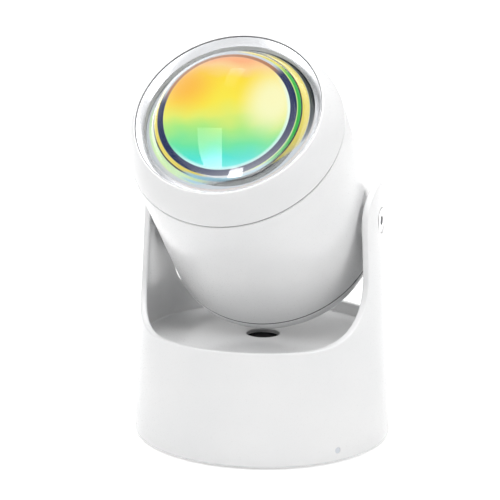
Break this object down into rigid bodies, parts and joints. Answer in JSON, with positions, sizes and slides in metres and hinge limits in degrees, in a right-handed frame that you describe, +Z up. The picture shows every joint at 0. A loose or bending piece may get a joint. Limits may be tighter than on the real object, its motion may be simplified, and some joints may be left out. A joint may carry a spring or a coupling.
{
  "type": "sunset projection lamp",
  "caption": "Round weighted table lamp base with two ears carrying a tilting projector head, with a domed lens in a bevelled bezel, a finned heat sink and a screwed hinge.",
  "frame": {"origin": "on the table, at the middle of the underside of the base's rubber pad", "axes": "+Z up; the tilt axis runs along X; the head looks towards -Y, and the power inlet is on the +Y side"},
  "size_m": [0.09, 0.1073, 0.1398],
  "materials": {
    "white_shell": "smooth white moulding with a soft gloss",
    "grey_cover": "fine matt moulding",
    "dark_window": "polished, nearly black, lets infrared through",
    "foam_black": "foam tape",
    "light_guide": "milky, polished end",
    "lamp_body": "clear moulded lamp",
    "black_rubber": "fine matt grain",
    "ballast_steel": "zinc plated",
    "screw_steel": "nickel plated",
    "board_green": "solder mask over glass fibre",
    "component_black": "moulded components",
    "receiver_black": "moulded lens",
    "inlet_metal": "drawn sheet shell",
    "wire_cover": "wire insulation",
    "washer_dark": "nylon",
    "lens_glass": "polished, faint blue coating",
    "ring_rubber": "moulded ring",
    "black_inner": "matt black to stop stray light",
    "filter_glass": "coated in orange and red",
    "gate_metal": "black anodised sheet",
    "clear_optic": "clear moulded optic",
    "lamp_chip": "yellow phosphor on white ceramic",
    "lamp_board": "white coated aluminium",
    "sink_aluminium": "die cast, as cast",
    "pivot_chrome": "polished and plated",
    "insert_brass": "knurled and turned",
    "pivot_steel": "turned, zinc plated"
  },
  "bodies": {
    "base": {"base_housing": "white_shell", "sensor_window": "dark_window", "window_gasket": "foam_black", "status_light": "light_guide", "status_led": "lamp_body", "bottom_cover": "grey_cover", "cover_screws": "screw_steel", "rubber_pad": "black_rubber", "ballast": "ballast_steel", "ballast_screws": "screw_steel", "control_board": "board_green", "board_parts": "component_black", "board_screws": "screw_steel", "ir_receiver": "receiver_black", "power_inlet": "inlet_metal", "wire_strip": "white_shell", "base_wires": "wire_cover", "friction_washers": "washer_dark"},
    "head": {"head_barrel": "white_shell", "front_bezel": "white_shell", "lens": "lens_glass", "lens_gasket": "ring_rubber", "lens_retainer": "black_inner", "colour_filter": "filter_glass", "optical_tube": "black_inner", "gate_holder": "black_inner", "gate_disc": "gate_metal", "gate_ring": "black_inner", "collimator": "clear_optic", "collimator_holder": "black_inner", "led_chip": "lamp_chip", "led_board": "lamp_board", "led_screws": "screw_steel", "heat_sink": "sink_aluminium", "heat_sink_screws": "screw_steel", "rear_cap": "white_shell", "pivot_screw": "pivot_chrome", "pivot_insert": "insert_brass", "pivot_stub": "pivot_steel", "stub_nut": "pivot_steel", "head_wires": "wire_cover"}
  },
  "joints": [
    {"name": "head_tilt", "type": "hinge", "parent": "base", "child": "head", "pos_m": [0, 0, 0.07758], "axis": [-1, 0, 0], "range_deg": [-42, 138]}
  ]
}
